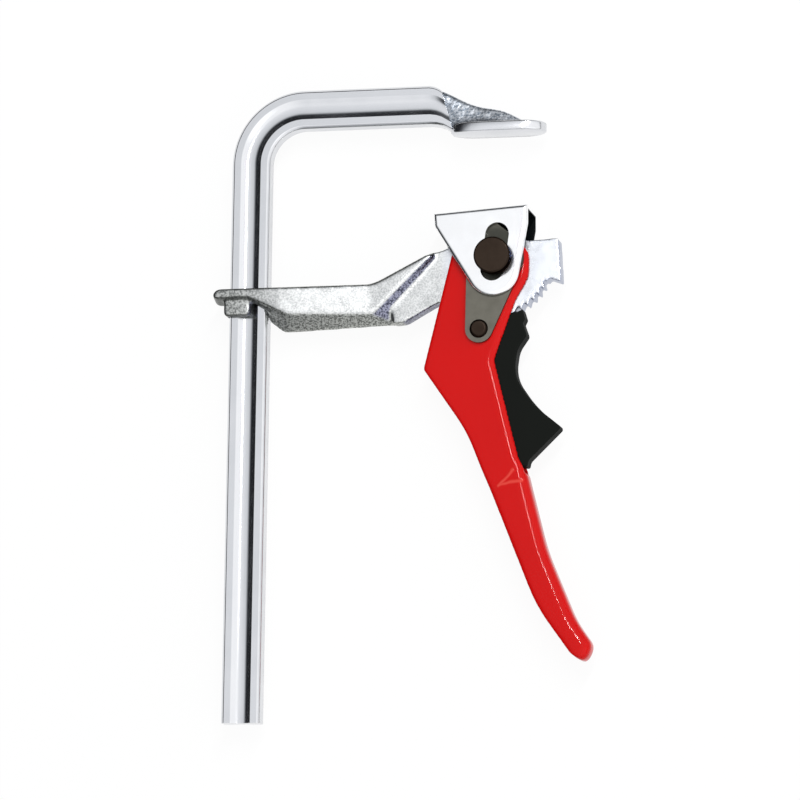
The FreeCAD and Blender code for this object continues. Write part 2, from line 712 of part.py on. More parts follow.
def make_trigger():
    trigger = new_body("trigger")
    outline = [
        (14.6, -28.0, 0.5),
        (16.2, -33.2, 1.5),
        (14.9, -35.9, 1.0),
        (17.3, -42.6, 2.5),
        (12.0, -50.5, 14.0),
        (10.0, -65.0, 20.0),
        (22.0, -82.5, 60.0),
        (37.0, -94.5, 1.6),
        (18.8, -112.6, 4.0),
        (18.2, -115.9, 1.0),
        (13.0, -115.9, 2.0),
        (1.5, -80.0, 40.0),
        (PIVOT.x - 6.2, PIVOT.y - 4.0, 5.0),
        (PIVOT.x - 6.2, PIVOT.y + 6.2, 5.6),
        (PIVOT.x + 4.0, PIVOT.y + 6.8, 5.0),
        (6.0, -29.0, 0.8),
    ]
    body_pad = new_pad(trigger, "trigger_body",
                       new_sketch(trigger, "trigger_outline", "XY_Plane", rounded(outline)),
                       f"2 * ({CHEEK_INNER} - Sizes.trigger_gap)")
    round_edges(trigger, "soft_edges", body_pad, "Sizes.trigger_edge",
                lambda edge: edge.BoundBox.ZLength < 1e-6)
    drill(trigger, "teeth_clearance", "0", "0", "Sizes.tooth_radius + Sizes.nose_gap")
    drill(trigger, "pivot_hole", "-Sizes.pivot_left", "-Sizes.pivot_drop",
          "Sizes.pivot_radius + Sizes.pin_fit")
    right = PIVOT.x + spring_on_pivot + size("spring_thick") / 2 + size("spring_room")
    tail = PIVOT.y - size("spring_tail") - size("spring_room")
    slot = [
        (right, PIVOT.y + 9.0, 0),
        (right, tail, 0),
        (PIVOT.x - 16.0, tail, 0),
        (PIVOT.x - 16.0, PIVOT.y + 9.0, 0),
    ]
    new_pocket(trigger, "spring_slot", new_sketch(trigger, "spring_slot_outline", "XY_Plane", rounded(slot)),
               "Sizes.spring_wide + 2 * Sizes.spring_room")
    return trigger


def make_trigger_pin():
    pin = new_body("trigger_pin")
    half = cheek_inner + size("pivot_seat") - 0.1
    radius = size("pivot_radius")
    turned(pin, "short_axle", [(0, -half, 0), (radius, -half, 0.4), (radius, half, 0.4), (0, half, 0)])
    return pin


def make_spring():
    """A flat strip: round the rivet's left side, between the pins, then down past the trigger pin."""
    spring = new_body("trigger_spring")
    half = size("spring_thick") / 2
    span = rivet_from_pivot.Length
    cross = math.degrees(math.asin((spring_on_rivet + spring_on_pivot) / span))
    heading = math.degrees(math.atan2(-rivet_from_pivot.y, -rivet_from_pivot.x))
    leave = heading - 90.0 + cross
    rivet = PIVOT + rivet_from_pivot

    def at(centre, radius, degrees):
        return V(*polar(radius, degrees, centre.x, centre.y), 0)

    def side(shift):
        """The three parts of one face of the strip, shift to the right of its middle line."""
        first = (at(rivet, spring_on_rivet + shift, 150.0),
                 at(rivet, spring_on_rivet + shift, (150.0 + leave + 360.0) / 2),
                 at(rivet, spring_on_rivet + shift, leave + 360.0))
        arrive = leave + 180.0
        second = (at(PIVOT, spring_on_pivot - shift, arrive),
                  at(PIVOT, spring_on_pivot - shift, arrive / 2),
                  at(PIVOT, spring_on_pivot - shift, 0.0))
        foot = V(second[2].x, PIVOT.y - size("spring_tail"), 0)
        return first, second, foot

    one, two, toe = side(half)
    three, four, heel = side(-half)
    edges = [
        Part.Arc(*one),
        Part.LineSegment(one[2], two[0]),
        Part.Arc(*two),
        Part.LineSegment(two[2], toe),
        Part.LineSegment(toe, heel),
        Part.LineSegment(heel, four[2]),
        Part.Arc(*reversed(four)),
        Part.LineSegment(four[0], three[2]),
        Part.Arc(*reversed(three)),
        Part.LineSegment(three[0], one[0]),
    ]
    new_pad(spring, "strip", new_sketch(spring, "strip_outline", "XY_Plane", edges), "Sizes.spring_wide")
    return spring


# Where each piece's own frame lies: the rail's at the origin, the arm's at the pin's height, the
# others at the main pin, the rivet or the trigger's axis.
ARM_Y = "-Sizes.pin_drop"
PLACES = [
    (make_rail(), "0", "0"),
    (make_sliding_arm(), "0", ARM_Y),
    (make_main_pin(), "Sizes.pin_reach", ARM_Y),
    (make_washer(), "Sizes.pin_reach", ARM_Y),
    (make_ring(), "Sizes.pin_reach", ARM_Y),
    (make_lever(), "Sizes.pin_reach", ARM_Y),
    (make_cam_plate("cam_plate_front", 1), "Sizes.pin_reach", ARM_Y),
    (make_cam_plate("cam_plate_rear", -1), "Sizes.pin_reach", ARM_Y),
    (make_lever_pin(), "Sizes.pin_reach - Sizes.lever_pin_left", f"{ARM_Y} - Sizes.lever_pin_drop"),
    (make_bracket(), "Sizes.pin_reach", ARM_Y),
    (make_trigger(), "Sizes.pin_reach", ARM_Y),
    (make_trigger_pin(), "Sizes.pin_reach - Sizes.pivot_left", f"{ARM_Y} - Sizes.pivot_drop"),
    (make_spring(), "Sizes.pin_reach", ARM_Y),
]


def set_places(shift):
    """Place every piece by its own frame and one shift of the whole clamp."""
    for piece, x, y in PLACES:
        turn = size("jaw_tilt") if piece.Label == "pressure_bracket" else 0.0
        piece.Placement = FreeCAD.Placement(V(0, 0, 0), FreeCAD.Rotation(V(0, 0, 1), turn))
        piece.setExpression("Placement.Base.x", f"{x} + {shift.x}")
        piece.setExpression("Placement.Base.y", f"{y} + {shift.y}")
        piece.setExpression("Placement.Base.z", f"{shift.z}")
    doc.recompute()


# The finished part's origin is the middle of its box's underside.
set_places(V(0, 0, 0))
box = FreeCAD.BoundBox()
for piece, _, _ in PLACES:
    box.add(piece.Shape.optimalBoundingBox(False, False))
origin = V(box.Center.x, box.Center.y, box.ZMin)
set_places(-origin)

for item in doc.Objects:
    if "Invalid" in item.State or "Error" in item.State:
        raise SystemExit(f"{item.Name} failed: {item.State}")
for piece, _, _ in PLACES:
    if piece.Shape.isNull() or not piece.Shape.isValid():
        raise SystemExit(f"{piece.Label} has no valid shape")

os.makedirs("parts", exist_ok=True)
for piece, _, _ in PLACES:
    piece.Shape.exportStep(f"parts/{piece.Label}.step")
    print(piece.Label, "solids", len(piece.Shape.Solids), "volume", round(piece.Shape.Volume, 1))

slot_way = math.radians(90.0 + size("jaw_tilt") - size("slot_lean"))
print("box", [round(value, 2) for value in (box.XLength, box.YLength, box.ZLength)])
print("main pin", round(size("pin_reach") - origin.x, 3), round(-size("pin_drop") - origin.y, 3))
print("trigger axis", round(size("pin_reach") + PIVOT.x - origin.x, 3),
      round(-size("pin_drop") + PIVOT.y - origin.y, 3), "middle plane", round(-origin.z, 3))
print("fixed pad face", round(-origin.y, 3), "rail edge", round(-origin.x, 3))
print("slot way", round(math.cos(slot_way), 4), round(math.sin(slot_way), 4))
print("lift per radian", round(-size("cam_base") / math.cos(math.radians(size("slot_lean"))) / 1000, 6))
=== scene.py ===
import math

import bmesh
import bpy
from mathutils import Matrix, Vector


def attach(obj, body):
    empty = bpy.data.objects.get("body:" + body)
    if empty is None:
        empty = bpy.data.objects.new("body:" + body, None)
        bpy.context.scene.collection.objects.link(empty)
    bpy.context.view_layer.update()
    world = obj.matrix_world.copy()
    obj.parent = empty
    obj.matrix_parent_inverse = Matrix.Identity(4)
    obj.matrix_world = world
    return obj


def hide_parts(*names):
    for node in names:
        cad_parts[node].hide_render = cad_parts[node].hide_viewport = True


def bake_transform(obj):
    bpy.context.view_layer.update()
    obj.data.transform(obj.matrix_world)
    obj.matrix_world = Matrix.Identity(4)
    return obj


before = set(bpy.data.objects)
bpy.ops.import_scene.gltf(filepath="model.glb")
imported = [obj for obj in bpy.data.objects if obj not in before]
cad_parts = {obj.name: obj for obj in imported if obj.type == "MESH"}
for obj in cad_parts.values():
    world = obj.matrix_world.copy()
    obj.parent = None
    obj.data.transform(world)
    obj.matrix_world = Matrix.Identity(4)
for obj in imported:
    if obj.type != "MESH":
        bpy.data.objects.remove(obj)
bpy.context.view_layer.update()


# The clamp lies on its side on a white table, the fixed arm at the top of the picture and the
# bar's free end towards the viewer, who looks down from a little to the right.
def clamp_point(x, y, z):
    """A point given in mm from the bar's inner edge, the fixed pad's face and the middle plane."""
    return Vector(((x - 76.729) / 1000, (y + 149.95) / 1000, (z + 17.2) / 1000))


def look_from(place, target, roll):
    """The turn that points a lamp or the camera from its place to the target."""
    back = (place - target).normalized()
    side = Vector((0, 1, 0)).cross(back).normalized()
    rise = back.cross(side)
    turned_side = side * math.cos(roll) + rise * math.sin(roll)
    turned_rise = rise * math.cos(roll) - side * math.sin(roll)
    turn = Matrix((turned_side, turned_rise, back)).transposed()
    return Matrix.Translation(place) @ turn.to_4x4()


clamp_middle = Vector((-0.0010, 0.0009, 0.0172))
view_back = Vector((0.22, -0.17, 0.961)).normalized()
view_distance = 2.4
view_roll = 0.0141
camera_data = bpy.data.cameras.new("camera")
camera_data.lens = 194.9
camera_data.sensor_width = 36
camera_data.clip_end = 20
camera = bpy.data.objects.new("camera", camera_data)
camera.matrix_world = look_from(clamp_middle + view_back * view_distance, clamp_middle,
                                view_roll)
bpy.context.collection.objects.link(camera)
bpy.context.scene.camera = camera
bpy.context.scene.view_settings.view_transform = "Standard"


# The table is a sheet of matt white card that runs far past the picture. It shows as white to
# the eye and in the bright metal, and keeps the clamp's soft shadow.
def linear(hex_code):
    """A colour written as sRGB hex, as the linear values that the shaders take."""
    channels = [int(hex_code[i:i + 2], 16) / 255 for i in (1, 3, 5)]
    turned = [c / 12.92 if c <= 0.04045 else ((c + 0.055) / 1.055) ** 2.4 for c in channels]
    return (*turned, 1.0)


def add(material, kind, settings=None, **links):
    """A node with its settings, and with its sockets set, or linked to a socket or another node.

    A socket goes by its name, or by its number after an i. A linked node gives its live output.
    """
    node = material.node_tree.nodes.new(kind)
    for name, value in (settings or {}).items():
        setattr(node, name, value)
    for name, value in links.items():
        key = int(name[1:]) if name[0] == "i" and name[1:].isdigit() else name.replace("_", " ")
        if isinstance(value, bpy.types.Node):
            value = next(output for output in value.outputs if output.enabled)
        if isinstance(value, bpy.types.NodeSocket):
            material.node_tree.links.new(value, node.inputs[key])
        else:
            node.inputs[key].default_value = value
    return node


def new_material(name):
    """An empty material with only its output node."""
    material = bpy.data.materials.new(name)
    material.use_nodes = True
    material.node_tree.nodes.clear()
    return material


# Matt white card: even and without gloss. The eye and the metal see its own white, and only the
# rest of it is lit, so that it takes the shadow.
white_share = 0.93
white_card = new_material("matt_white_card")
card = add(white_card, "ShaderNodeBsdfDiffuse", Color=linear("#F2F2F2"))
glow = add(white_card, "ShaderNodeEmission", Color=linear("#FFFFFF"), Strength=1.0)
ray = add(white_card, "ShaderNodeLightPath")
seen = add(white_card, "ShaderNodeMath", {"operation": "MAXIMUM"},
           i0=ray.outputs["Is Camera Ray"], i1=ray.outputs["Is Glossy Ray"])
shown = add(white_card, "ShaderNodeMath", {"operation": "MAXIMUM"},
            i0=seen, i1=ray.outputs["Is Transmission Ray"])
share = add(white_card, "ShaderNodeMath", {"operation": "MULTIPLY"}, i0=shown, i1=white_share)
card_mix = add(white_card, "ShaderNodeMixShader", i0=share, i1=card, i2=glow)
add(white_card, "ShaderNodeOutputMaterial", Surface=card_mix)

table_half = 6
table_drop = 0.0002
table_mesh = bpy.data.meshes.new("table")
table_corners = [(-table_half, -table_half, 0), (table_half, -table_half, 0),
                 (table_half, table_half, 0), (-table_half, table_half, 0)]
table_mesh.from_pydata(table_corners, [], [(0, 1, 2, 3)])
table = bpy.data.objects.new("table", table_mesh)
table.location.z = -table_drop
table_mesh.materials.append(white_card)
bpy.context.collection.objects.link(table)


# Soft studio light: a white tent, bright from overhead round to the lower right of the picture and
# grey low down at the upper left, with a dark gap between its foot and the table. Slopes of steel
# that face these show them as dark lines.
smooth_step = {"interpolation_type": "SMOOTHSTEP"}
of_colours = {"data_type": "RGBA"}
world = bpy.data.worlds.new("studio_tent")
bpy.context.scene.world = world
world.use_nodes = True
world.node_tree.nodes.clear()
bright_side = Vector((0.62, -0.31, 0.72)).normalized()
direction = add(world, "ShaderNodeTexCoord").outputs["Generated"]
facing = add(world, "ShaderNodeVectorMath", {"operation": "DOT_PRODUCT"}, i0=direction, i1=bright_side)
spread = add(world, "ShaderNodeMapRange", i0=facing, i1=-0.5, i2=1.0)
tent = add(world, "ShaderNodeValToRGB", Fac=spread)
tent_stops = [(0.0, "#222325"), (0.24, "#26272A"), (0.40, "#6A6C6F"), (0.56, "#CDCFD1"),
              (0.67, "#E6E7E9"), (0.85, "#FFFFFF")]
for index, (position, colour) in enumerate(tent_stops):
    stop = tent.color_ramp.elements[0] if index == 0 else tent.color_ramp.elements.new(position)
    stop.position = position
    stop.color = linear(colour)
tent.color_ramp.elements[len(tent_stops)].color = linear("#FFFFFF")
height = add(world, "ShaderNodeSeparateXYZ", Vector=direction).outputs["Z"]
foot_gap = add(world, "ShaderNodeMapRange", smooth_step,
               i0=height, i1=0.03, i2=0.15, i3=0.88, i4=0.0)
gapped = add(world, "ShaderNodeMix", of_colours, i0=foot_gap, i6=tent.outputs["Color"],
             i7=linear("#2A2B2D"))
tent_light = add(world, "ShaderNodeBackground", Color=gapped, Strength=1.2)
white_light = add(world, "ShaderNodeBackground", Color=linear("#FFFFFF"), Strength=1.0)
eye = add(world, "ShaderNodeLightPath").outputs["Is Camera Ray"]
world_mix = add(world, "ShaderNodeMixShader", i0=eye, i1=tent_light, i2=white_light)
add(world, "ShaderNodeOutputWorld", Surface=world_mix)


def soft_box(name, place, width, length, power, turned=0.0):
    """A rectangular lamp that faces the clamp, turned about its own axis."""
    lamp_data = bpy.data.lights.new(name, "AREA")
    lamp_data.shape = "RECTANGLE"
    lamp_data.size = width
    lamp_data.size_y = length
    lamp_data.energy = power
    lamp = bpy.data.objects.new(name, lamp_data)
    lamp.matrix_world = look_from(Vector(place), clamp_middle, turned)
    bpy.context.collection.objects.link(lamp)


soft_box("broad_soft_box", (1.2, -0.9, 1.5), 1.6, 1.6, 2)
soft_box("strip_soft_box", (0.42, 0.72, 1.6), 0.035, 1.1, 14, math.radians(-35))


# The bar and fixed arm are one drawn steel profile with a flute along each broad side, bent
# round and forged into a neck and pad, then zinc plated bright.

# Bright zinc plate over drawn steel: faint clouds in its gloss, and rolled serrations across the
# narrow faces, 0.8 mm apart on the real bar and drawn at 1.6 mm so that they show.
serration_pitch = 0.0016
bright_zinc = new_material("bright_zinc_plate")
coordinates = add(bright_zinc, "ShaderNodeTexCoord")
place = coordinates.outputs["Object"]
clouds = add(bright_zinc, "ShaderNodeTexNoise", Vector=place, Scale=1000 / 24, Detail=3.0)
grain = add(bright_zinc, "ShaderNodeTexNoise", Vector=place, Scale=1000 / 1.1, Detail=3.0)
zinc_colour = add(bright_zinc, "ShaderNodeMix", of_colours, i0=clouds,
                  i6=linear("#E4E5E8"), i7=linear("#D0D2D6"))
zinc_gloss = add(bright_zinc, "ShaderNodeMapRange", smooth_step, i0=clouds,
                 i1=0.3, i2=0.7, i3=0.13, i4=0.22)
along_bar = add(bright_zinc, "ShaderNodeSeparateXYZ", Vector=place).outputs["Y"]
across = add(bright_zinc, "ShaderNodeSeparateXYZ", Vector=coordinates.outputs["Normal"]).outputs["X"]
sideways = add(bright_zinc, "ShaderNodeMath", {"operation": "ABSOLUTE"}, i0=across)
narrow_face = add(bright_zinc, "ShaderNodeMapRange", smooth_step, i0=sideways, i1=0.9, i2=0.99)
tooth_phase = add(bright_zinc, "ShaderNodeMath", {"operation": "MULTIPLY"},
                  i0=along_bar, i1=2 * math.pi / serration_pitch)
tooth_wave = add(bright_zinc, "ShaderNodeMath", {"operation": "SINE"}, i0=tooth_phase)
serration = add(bright_zinc, "ShaderNodeMath", {"operation": "MULTIPLY"},
                i0=tooth_wave, i1=narrow_face)
grain_bump = add(bright_zinc, "ShaderNodeBump", Height=grain, Strength=1.0, Distance=0.000008)
serrated = add(bright_zinc, "ShaderNodeBump", Height=serration, Strength=1.0,
               Distance=0.00012, Normal=grain_bump)
zinc = add(bright_zinc, "ShaderNodeBsdfPrincipled", Base_Color=zinc_colour, Metallic=1.0,
           Roughness=zinc_gloss, Normal=serrated)
add(bright_zinc, "ShaderNodeOutputMaterial", Surface=zinc)


def skinned(name, rings, material):
    """A mesh skinned over rings of points in mm, each ring with as many points as the next."""
    built = bmesh.new()
    rows = []
    for ring in rings:
        rows.append([built.verts.new(clamp_point(*point)) for point in ring])
    count = len(rings[0])
    for near, onward in zip(rows, rows[1:]):
        for index in range(count):
            after = (index + 1) % count
            built.faces.new((near[index], near[after], onward[after], onward[index]))
    built.faces.new(list(reversed(rows[0])))
    built.faces.new(rows[-1])
    bmesh.ops.recalc_face_normals(built, faces=built.faces)
    mesh = bpy.data.meshes.new(name)
    built.to_mesh(mesh)
    built.free()
    mesh.materials.append(material)
    piece = bpy.data.objects.new(name, mesh)
    bpy.context.collection.objects.link(piece)
    return piece


def smooth_shaded(piece, sharp_degrees=40):
    """Shades a piece smoothly, with its edges above the angle kept crisp."""
    mesh = piece.data
    for face in mesh.polygons:
        face.use_smooth = True
    mesh.set_sharp_from_angle(angle=math.radians(sharp_degrees))


# Half of the bar's section from the flute's middle to the narrow face's middle, as distance from
# the bar's middle line and height above its middle plane: flute, land, rolled bevel.
bar_width = 22.0
half_section = [(0.0, 3.45), (1.4, 3.47), (2.3, 3.56), (3.0, 3.78), (3.7, 4.13), (4.4, 4.54),
                (5.1, 4.93), (5.7, 5.25), (7.6, 5.25), (9.3, 5.25), (9.75, 5.02), (10.6, 4.17),
                (10.9, 3.75), (11.0, 3.3), (11.0, 1.8), (11.0, 0.0)]
upper_half = half_section + [(u, -z) for u, z in reversed(half_section[:-1])]
bar_section = upper_half + [(-u, z) for u, z in reversed(upper_half[1:-1])]


def bar_ring(outer, inner):
    """The bar's section laid between its outer and inner edge, two points in mm."""
    middle = (outer + inner) / 2
    reach = (outer - inner) / bar_width
    return [(middle.x + u * reach.x, middle.y + u * reach.y, z) for u, z in bar_section]


bend_inner = 19.5
bend_outer = bend_inner + bar_width
bend_steps = 24
bend_centre = Vector((bend_inner, -13.2))
arm_top = bend_centre.y + bend_outer
arm_low = bend_centre.y + bend_inner
bar_rings = []
for y in (-328.2, -327.9, -260, -190, -120, -60, bend_centre.y):
    bar_rings.append(bar_ring(Vector((-bar_width, y)), Vector((0, y))))
for step in range(1, bend_steps):
    angle = math.radians(180 - 90 * step / bend_steps)
    way = Vector((math.cos(angle), math.sin(angle)))
    bar_rings.append(bar_ring(bend_centre + way * bend_outer, bend_centre + way * bend_inner))
for x in (bend_centre.x, 40, 62, 80, 88):
    bar_rings.append(bar_ring(Vector((x, arm_top)), Vector((x, arm_low))))

# Past the straight the bar turns down towards the pad, and ends at the slanting edge where the
# hammered neck begins.
for outer, inner in (((91.0, 28.25), (92.0, 6.25)), ((93.2, 27.85), (96.0, 5.7)),
                     ((95.2, 27.1), (99.8, 4.4)), ((96.8, 26.2), (103.0, 2.4)),
                     ((98.0, 25.3), (105.0, 1.2))):
    bar_rings.append(bar_ring(Vector(outer), Vector(inner)))
bar = skinned("bar_and_fixed_arm", bar_rings, bright_zinc)
smooth_shaded(bar, 16)
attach(bar, "rail")
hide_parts("rail")


# The neck joins the bar to the pad and is of the same steel. It is drawn down by hammering while
# hot and plated with the rest, so it is faceted and dented.
#
# Hammered zinc plate: mottled by scale under the plating, with painted shade where the neck leaves the
# bar.
hammered_zinc = new_material("hammered_zinc_plate")
place = add(hammered_zinc, "ShaderNodeTexCoord").outputs["Object"]
dents = add(hammered_zinc, "ShaderNodeTexNoise", Vector=place, Scale=1000 / 5, Detail=2.0)
scale_marks = add(hammered_zinc, "ShaderNodeTexNoise", Vector=place, Scale=1000 / 1.3, Detail=4.0)
mottle = add(hammered_zinc, "ShaderNodeMapRange", smooth_step, i0=scale_marks, i1=0.42, i2=0.66)
marked = add(hammered_zinc, "ShaderNodeMix", of_colours, i0=mottle,
             i6=linear("#E4E8EE"), i7=linear("#8B95A1"))
from_bar = add(hammered_zinc, "ShaderNodeSeparateXYZ", Vector=place).outputs["X"]
# Painted shade: the neck darkens towards the bar, where it meets it.
painted_foot_shade = add(hammered_zinc, "ShaderNodeMapRange", smooth_step, i0=from_bar,
            i1=clamp_point(118, 0, 0).x, i2=clamp_point(100, 0, 0).x, i3=0.0, i4=0.65)
hammered_colour = add(hammered_zinc, "ShaderNodeMix", of_colours, i0=painted_foot_shade, i6=marked,
                      i7=linear("#5A636E"))
dent_bump = add(hammered_zinc, "ShaderNodeBump", Height=dents, Strength=1.0, Distance=0.0004)
mark_bump = add(hammered_zinc, "ShaderNodeBump", Height=scale_marks, Strength=1.0,
                Distance=0.00006, Normal=dent_bump)
hammered = add(hammered_zinc, "ShaderNodeBsdfPrincipled", Base_Color=hammered_colour, Metallic=1.0,
               Roughness=0.28, Normal=mark_bump)
add(hammered_zinc, "ShaderNodeOutputMaterial", Surface=hammered)

# Sections of the neck: distance along, underside, ridge, half width at the foot and at the ridge.
neck_sections = [(94.0, 12.0, 26.6, 2.9, 2.9), (97.0, 10.0, 25.9, 3.1, 3.1),
                 (100.0, 7.0, 24.6, 3.5, 3.1), (103.0, 3.4, 23.1, 4.1, 2.9),
                 (106.5, 1.4, 21.3, 4.7, 2.7), (110.8, 1.0, 19.0, 5.4, 2.4),
                 (116.8, 1.0, 16.4, 6.6, 2.3),
                 (123.0, 1.2, 14.9, 7.2, 2.3), (129.5, 1.4, 13.9, 7.0, 2.3),
                 (135.5, 1.8, 11.9, 6.4, 2.1), (140.5, 2.4, 9.0, 5.4, 1.8),
                 (145.0, 3.0, 6.7, 4.2, 1.3), (148.0, 3.6, 5.3, 3.0, 0.9)]
neck_rings = []
for x, under, ridge, foot, crest in neck_sections:
    tall = ridge - under
    side = [(under, 0.6 * foot), (under, foot - 0.4), (under + 0.14 * tall, foot),
            (under + 0.36 * tall, 0.45 * foot + 0.5 * crest),
            (under + 0.62 * tall, 0.2 * foot + 0.78 * crest),
            (under + 0.86 * tall, crest), (ridge - 0.03 * tall, 0.72 * crest),
            (ridge, 0.3 * crest)]
    ring = [(x, up, across) for up, across in side]
    ring += [(x, up, -across) for up, across in reversed(side)]
    neck_rings.append(ring)
neck = skinned("hammered_neck", neck_rings, hammered_zinc)
rounder = neck.modifiers.new("rounder", "SUBSURF")
rounder.levels = 2
rounder.render_levels = 2
smooth_shaded(neck, 180)
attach(neck, "rail")
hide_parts("rail")


# The fixed pad is the bar's own end, forged flat to an oval plate 20 mm wide with rolled edges.
# It is plated with the bar, and its underside is the clamp's fixed jaw.
pad_plan = [(103.4, 2.6), (104.2, 4.3), (106.0, 6.2), (108.6, 7.9), (112.0, 9.1), (116.5, 9.8),
            (122.0, 10.0), (134.0, 10.0), (144.0, 10.0)]
for degrees in (75, 60, 46, 34, 22, 11):
    turn = math.radians(degrees)
    pad_plan.append((144.0 + 13.0 * math.cos(turn), 10.0 * math.sin(turn)))
pad_plan.append((157.0, 0.0))
pad_outline = pad_plan + [(x, -z) for x, z in reversed(pad_plan[:-1])]
pad_centre = (130.0, 0.0)
pad_rings = []
for up, inset in ((0.0, 1.3), (0.12, 0.75), (0.5, 0.2), (1.1, 0.0), (4.5, 0.0), (5.1, 0.2),
                  (5.48, 0.75), (5.6, 1.3)):
    ring = []
    for x, z in pad_outline:
        away = Vector((x - pad_centre[0], 2.4 * (z - pad_centre[1]))).normalized()
        ring.append((x - away.x * inset, up, z - away.y * inset))
    pad_rings.append(ring)
pad = skinned("fixed_pad", pad_rings, bright_zinc)
smooth_shaded(pad, 50)
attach(pad, "rail")
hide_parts("rail")


# The sliding arm is a steel drop forging, zinc plated, that rides on the bar by the window in its
# loop. The thin plate at its far end is planed flat and carries the lever on the main pin.
#
# Plated forging scale: speckled, with painted shade on steep flanks and round the bar, a painted
# dark blue-grey reflection on the step down to the head plate, and nearly white on the plate, planed
# flat.
forged_skin = new_material("plated_drop_forging")
coordinates = add(forged_skin, "ShaderNodeTexCoord")
place = coordinates.outputs["Object"]
facing = add(forged_skin, "ShaderNodeSeparateXYZ", Vector=coordinates.outputs["Normal"])
upright = add(forged_skin, "ShaderNodeMath", {"operation": "ABSOLUTE"}, i0=facing.outputs["Z"])
# Painted shade: steep flanks, found by their normals, take darker colours than the faces.
painted_flank_shade = add(forged_skin, "ShaderNodeMapRange", smooth_step, i0=upright, i1=0.985, i2=0.88)
# Painted reflection: the step's faces that turn towards the head plate are coloured dark blue-grey.
painted_step_reflection_mask = add(forged_skin, "ShaderNodeMapRange", smooth_step, i0=facing.outputs["X"],
                i1=0.10, i2=0.35)
along_arm = add(forged_skin, "ShaderNodeSeparateXYZ", Vector=place).outputs["X"]
# Painted shade: the arm darkens towards the bar, over its loop.
shade_by_bar = add(forged_skin, "ShaderNodeMapRange", smooth_step, i0=along_arm,
             i1=clamp_point(16, 0, 0).x, i2=clamp_point(-22, 0, 0).x)
on_head = add(forged_skin, "ShaderNodeMapRange", smooth_step, i0=along_arm,
              i1=clamp_point(97, 0, 0).x, i2=clamp_point(106, 0, 0).x)
speckle = add(forged_skin, "ShaderNodeTexNoise", Vector=place, Scale=1000 / 1.0, Detail=4.0)
patches = add(forged_skin, "ShaderNodeTexNoise", Vector=place, Scale=1000 / 9, Detail=3.0)
speckled = add(forged_skin, "ShaderNodeMapRange", smooth_step, i0=speckle, i1=0.40, i2=0.62)
face_colour = add(forged_skin, "ShaderNodeMix", of_colours, i0=speckled,
                  i6=linear("#D9DADA"), i7=linear("#BEC0C0"))
shaded_flank_colour = add(forged_skin, "ShaderNodeMix", of_colours, i0=speckled,
                   i6=linear("#BCBEBA"), i7=linear("#656764"))
painted_step_reflection = add(forged_skin, "ShaderNodeMix", of_colours, i0=speckled,
                  i6=linear("#8D8FA2"), i7=linear("#383A48"))
shaded_steep_colour = add(forged_skin, "ShaderNodeMix", of_colours, i0=painted_step_reflection_mask, i6=shaded_flank_colour,
                   i7=painted_step_reflection)
skin_with_flank_shade = add(forged_skin, "ShaderNodeMix", of_colours, i0=painted_flank_shade, i6=face_colour, i7=shaded_steep_colour)
# Painted shade: round the bar the loop takes darker colours, darkest on its flanks.
shaded_loop_colour = add(forged_skin, "ShaderNodeMix", of_colours, i0=speckled,
                  i6=linear("#B9BBB8"), i7=linear("#50524F"))
shaded_loop_flank = add(forged_skin, "ShaderNodeMix", of_colours, i0=painted_flank_shade, i6=shaded_loop_colour,
                 i7=linear("#3F413F"))
painted_loop_shade = add(forged_skin, "ShaderNodeMath", {"operation": "MULTIPLY"}, i0=shade_by_bar, i1=0.8)
beam_skin = add(forged_skin, "ShaderNodeMix", of_colours, i0=painted_loop_shade, i6=skin_with_flank_shade, i7=shaded_loop_flank)
# On the planed plate too, the painted flank shade darkens the steep faces.
planed = add(forged_skin, "ShaderNodeMix", of_colours, i0=painted_flank_shade,
             i6=linear("#D2D5DB"), i7=linear("#AEB4C4"))
forged_colour = add(forged_skin, "ShaderNodeMix", of_colours, i0=on_head, i6=beam_skin, i7=planed)
forged_gloss = add(forged_skin, "ShaderNodeMapRange", smooth_step, i0=patches,
                   i1=0.3, i2=0.7, i3=0.24, i4=0.36)
skin_depth = add(forged_skin, "ShaderNodeMapRange", i0=on_head, i3=0.8, i4=0.12)
forged_bump = add(forged_skin, "ShaderNodeBump", Height=speckle, Strength=skin_depth, Distance=0.00006)
forging = add(forged_skin, "ShaderNodeBsdfPrincipled", Base_Color=forged_colour, Metallic=1.0,
              Roughness=forged_gloss, Normal=forged_bump)
add(forged_skin, "ShaderNodeOutputMaterial", Surface=forging)

# The solid's mesh is divided evenly and its edges are worn round, most on the thick beam and the
# loop and least on the head plate and its teeth.
def evened(name, node_name, grid_mm, material):
    """A copy of a solid's mesh, divided into small even faces so that its edges can be rounded."""
    piece = bpy.data.objects.new(name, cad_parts[node_name].data.copy())
    bpy.context.collection.objects.link(piece)
    grid = piece.modifiers.new("even_grid", "REMESH")
    grid.mode = "VOXEL"
    grid.voxel_size = grid_mm / 1000
    bpy.context.view_layer.update()
    divided = piece.evaluated_get(bpy.context.evaluated_depsgraph_get())
    mesh = bpy.data.meshes.new_from_object(divided)
    piece.modifiers.clear()
    piece.data = mesh
    mesh.materials.clear()
    mesh.materials.append(material)
    smooth_shaded(piece, 180)
    return piece


def worn(piece, passes, strength=None):
    """Rounds a piece's edges; strength gives each point's share, from 0 to 1."""
    wear = piece.modifiers.new("worn_edges", "SMOOTH")
    wear.factor = 0.5
    wear.iterations = passes
    if strength:
        group = piece.vertex_groups.new(name=strength.__name__)
        for corner in piece.data.vertices:
            group.add([corner.index], strength(corner.co), "REPLACE")
        wear.vertex_group = group.name


def beam_wear(place):
    """Full wear on the beam and loop, and a tenth of it on the head plate."""
    beyond = (place.x - clamp_point(84, 0, 0).x) / 0.014
    return 1.0 - 0.9 * min(max(beyond, 0.0), 1.0)


